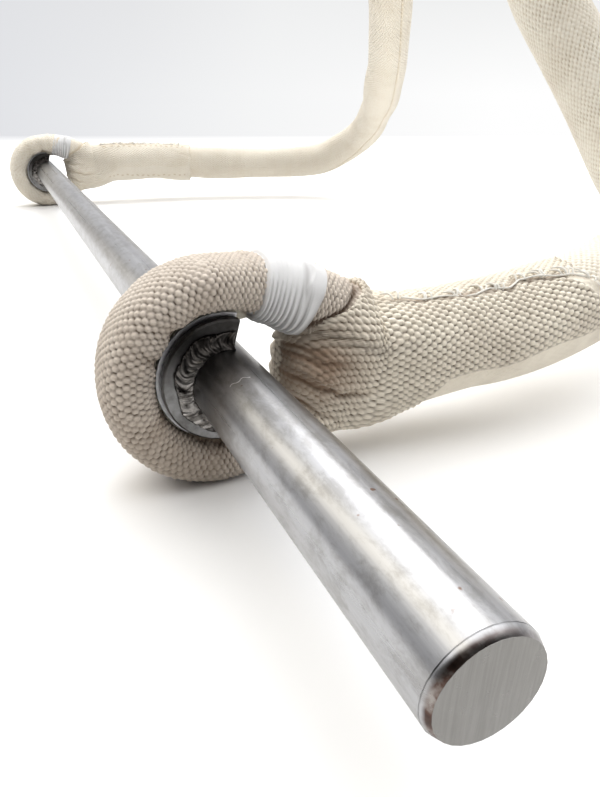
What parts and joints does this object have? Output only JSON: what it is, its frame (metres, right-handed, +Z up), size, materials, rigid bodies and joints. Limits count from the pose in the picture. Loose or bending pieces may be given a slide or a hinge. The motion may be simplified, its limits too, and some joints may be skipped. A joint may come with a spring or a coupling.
{
  "type": "trapeze bar",
  "caption": "Steel trapeze bar carried in the padded, taped eyes of two covered ropes that turn freely on it between welded discs.",
  "frame": {"origin": "centre of the bottom of the box round the bar and its two eyes with their covers, on the surface that they lie on", "axes": "+X along the bar to the near end, +Y to the side that the ropes leave on, +Z up"},
  "size_m": [1, 0.4397, 0.3934],
  "materials": {
    "bar_steel": "satin, brushed along the bar",
    "disc_steel": "dark turned steel",
    "weld_steel": "heat-tinted weld metal",
    "thimble_steel": "dull pressed steel",
    "cover_cotton": "nubby padded cotton",
    "rope_cotton": "padded cotton sleeve",
    "tape_white": "wound cloth tape",
    "core_rope": "laid rope"
  },
  "bodies": {
    "bar": {"bar_tube": "bar_steel", "near_end_plug": "bar_steel", "far_end_plug": "bar_steel", "near_outer_disc": "disc_steel", "near_outer_weld": "weld_steel", "near_inner_disc": "disc_steel", "near_inner_weld": "weld_steel", "far_outer_disc": "disc_steel", "far_outer_weld": "weld_steel", "far_inner_disc": "disc_steel", "far_inner_weld": "weld_steel"},
    "near_rope_set": {"near_thimble": "thimble_steel", "near_core": "core_rope", "near_eye_sleeve": "cover_cotton", "near_eye_tape": "tape_white", "near_cover": "cover_cotton", "near_rope": "rope_cotton", "near_top_eye": "core_rope", "near_top_thimble": "thimble_steel", "near_top_whipping": "tape_white"},
    "far_rope_set": {"far_thimble": "thimble_steel", "far_core": "core_rope", "far_eye_sleeve": "cover_cotton", "far_eye_tape": "tape_white", "far_cover": "cover_cotton", "far_rope": "rope_cotton", "far_top_eye": "core_rope", "far_top_thimble": "thimble_steel", "far_top_whipping": "tape_white"}
  },
  "joints": [
    {"name": "near_rope_swing", "type": "hinge", "parent": "bar", "child": "near_rope_set", "pos_m": [0.35, -0.07852, 0.04029], "axis": [1, 0, 0], "continuous": true},
    {"name": "far_rope_swing", "type": "hinge", "parent": "bar", "child": "far_rope_set", "pos_m": [-0.35, -0.07852, 0.04029], "axis": [1, 0, 0], "continuous": true}
  ]
}
